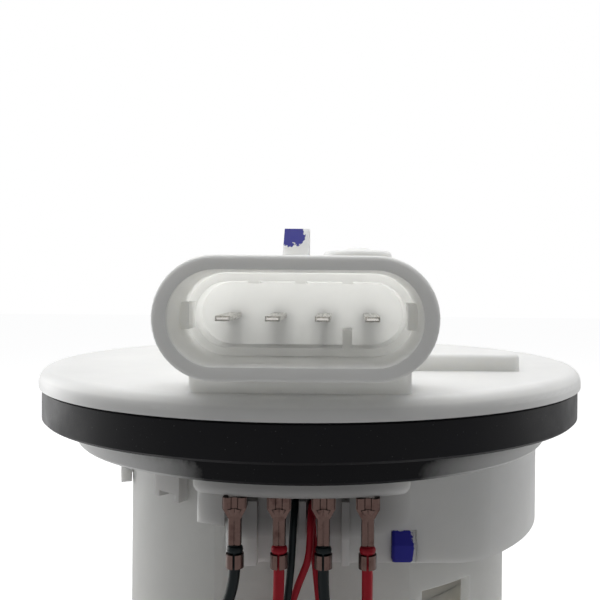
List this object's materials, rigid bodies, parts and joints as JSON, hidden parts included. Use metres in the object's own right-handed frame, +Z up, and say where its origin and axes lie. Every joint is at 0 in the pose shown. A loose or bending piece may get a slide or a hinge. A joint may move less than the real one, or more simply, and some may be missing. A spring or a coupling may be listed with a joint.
{
  "type": "fuel pump module",
  "caption": "In-tank fuel pump module: sealing flange with bladed connector and outlet nipple over a slotted housing with filter, electric pump, reservoir cup and level float.",
  "frame": {"origin": "centre of the flange gasket's lower face, where the module seats on the tank", "axes": "+Z up out of the tank, the electrical connector points to -Y and the outlet nipple to +Y"},
  "size_m": [0.1192, 0.156, 0.209],
  "materials": {
    "flange_white": "moulded acetal, satin",
    "housing_white": "moulded acetal, satin",
    "reservoir_white": "moulded acetal, satin",
    "gasket_black": "smooth moulded rubber",
    "blade_tin": "tin plated brass",
    "receptacle_tin": "tinned strip",
    "lead_black": "insulation, satin",
    "lead_red": "insulation, satin",
    "hose_black": "corrugated nylon",
    "filter_black": "moulded nylon",
    "filter_natural": "moulded nylon, natural",
    "filter_paper": "pleated paper",
    "cap_white": "potted ends",
    "steel": "plated steel",
    "spring_steel": "spring wire",
    "case_steel": "zinc plated steel tube",
    "cover_black": "filled plastic",
    "acetal": "machined and moulded acetal",
    "impeller_brown": "phenolic",
    "plate_aluminium": "die cast",
    "bronze": "sintered bronze",
    "core_iron": "laminated core",
    "copper": "enamelled copper",
    "magnet_grey": "ferrite",
    "carbon": "carbon",
    "rubber_black": "moulded rubber",
    "mesh": "woven nylon mesh",
    "card": "ceramic with thick film tracks",
    "float_foam": "closed cell nitrile foam"
  },
  "bodies": {
    "module": {"flange": "flange_white", "housing": "housing_white", "reservoir": "reservoir_white", "pump_holder": "reservoir_white", "jet_pump": "reservoir_white", "flange_gasket": "gasket_black", "connector_blades": "blade_tin", "pump_terminals": "blade_tin", "receptacle_1": "receptacle_tin", "receptacle_2": "receptacle_tin", "receptacle_3": "receptacle_tin", "receptacle_4": "receptacle_tin", "sender_lead_black": "lead_black", "pump_lead_black": "lead_black", "thin_lead_black": "lead_black", "sender_lead_red": "lead_red", "pump_lead_red": "lead_red", "thin_lead_red_left": "lead_red", "thin_lead_red_right": "lead_red", "delivery_hose": "hose_black", "jet_tube": "hose_black", "strainer_neck": "filter_black", "filter_case": "filter_natural", "filter_cover": "filter_natural", "filter_element": "filter_paper", "filter_end_caps": "cap_white", "regulator_body": "steel", "regulator_clip": "steel", "regulator_spring": "spring_steel", "brush_spring_front": "spring_steel", "brush_spring_rear": "spring_steel", "check_valve_spring": "spring_steel", "pump_case": "case_steel", "pump_endbell": "cover_black", "pump_inlet_cover": "cover_black", "pump_plug": "cover_black", "sender_body": "acetal", "chamber_plate": "plate_aluminium", "pump_bearings": "bronze", "magnets": "magnet_grey", "regulator_seals": "rubber_black", "pump_seal": "rubber_black", "pump_isolator": "rubber_black", "strainer_pad": "mesh", "resistor_card": "card"},
    "rotor": {"pump_shaft": "steel", "armature_core": "core_iron", "armature_windings": "copper", "commutator": "copper", "impeller": "impeller_brown"},
    "brush_front_body": {"brush_front": "carbon"},
    "brush_rear_body": {"brush_rear": "carbon"},
    "check_poppet": {"check_valve": "acetal"},
    "regulator_poppet": {"regulator_valve": "steel"},
    "foot_flap": {"foot_valve": "rubber_black"},
    "float_lever": {"sender_hub": "acetal", "wiper": "spring_steel", "float_arm": "steel", "float": "float_foam", "float_clip": "steel"}
  },
  "joints": [
    {"name": "rotor_spin", "type": "hinge", "parent": "module", "child": "rotor", "pos_m": [0.01, 0, -0.12], "axis": [0, 0, 1], "continuous": true},
    {"name": "brush_front_slide", "type": "slide", "parent": "module", "child": "brush_front_body", "axis": [0, 0, 1], "range_m": [0, 0.002], "stiffness_N_per_m": 80, "springref_m": -0.003, "deforming": ["brush_spring_front"]},
    {"name": "brush_rear_slide", "type": "slide", "parent": "module", "child": "brush_rear_body", "axis": [0, 0, 1], "range_m": [0, 0.002], "stiffness_N_per_m": 80, "springref_m": -0.003, "deforming": ["brush_spring_rear"]},
    {"name": "check_valve_lift", "type": "slide", "parent": "module", "child": "check_poppet", "axis": [0, 0, 1], "range_m": [0, 0.002], "stiffness_N_per_m": 60, "springref_m": -0.003, "deforming": ["check_valve_spring"]},
    {"name": "regulator_valve_lift", "type": "slide", "parent": "module", "child": "regulator_poppet", "axis": [0, 0, -1], "range_m": [0, 0.001], "stiffness_N_per_m": 400, "springref_m": -0.004, "deforming": ["regulator_spring"]},
    {"name": "foot_valve_lift", "type": "slide", "parent": "module", "child": "foot_flap", "axis": [0, 0, 1], "range_m": [0, 0.0015]},
    {"name": "float_arm_swing", "type": "hinge", "parent": "module", "child": "float_lever", "pos_m": [-0.0466, 0, -0.098], "axis": [1, 0, 0], "range_deg": [0, 76]}
  ]
}
